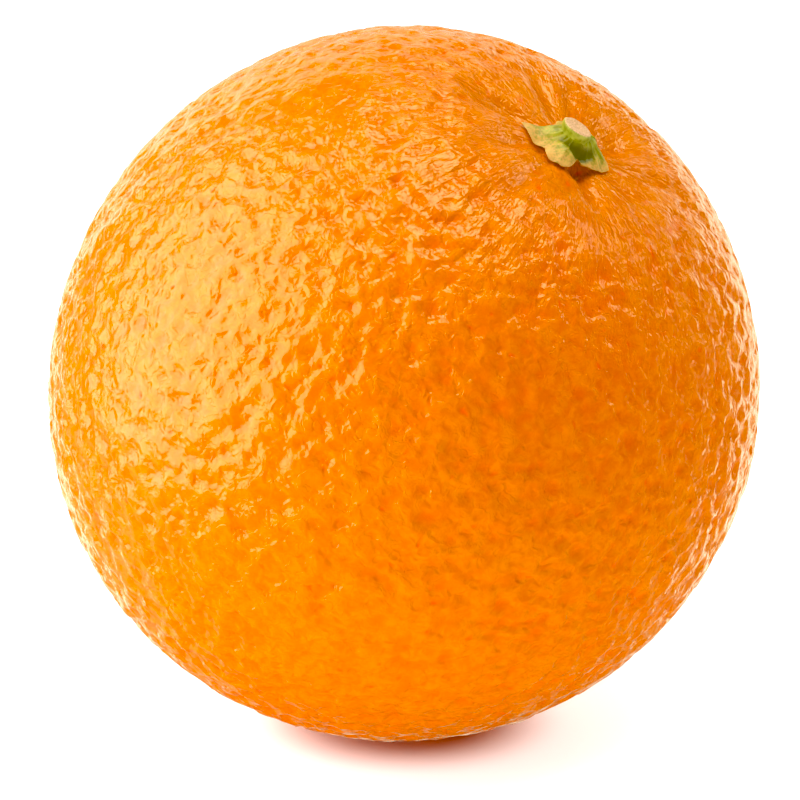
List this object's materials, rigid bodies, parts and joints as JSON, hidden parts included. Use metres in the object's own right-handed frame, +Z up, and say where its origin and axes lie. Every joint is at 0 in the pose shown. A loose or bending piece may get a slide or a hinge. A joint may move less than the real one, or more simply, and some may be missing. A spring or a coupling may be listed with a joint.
{
  "type": "orange",
  "caption": "Whole ripe sweet orange with pebbled skin, a green calyx and a short cut stem stub, lying on a small flat spot.",
  "frame": {"origin": "middle of the small flat that the fruit rests on", "axes": "+Z up from the resting flat; +X to the right and -Y towards the front, where the leaning stem end shows"},
  "size_m": [0.0778, 0.0778, 0.0779],
  "materials": {
    "orange_skin": "satin",
    "calyx_green": "satin",
    "cut_stem": "matte"
  },
  "bodies": {
    "root": {"fruit": "orange_skin", "calyx": "calyx_green", "stem_stub": "cut_stem"}
  },
  "joints": []
}
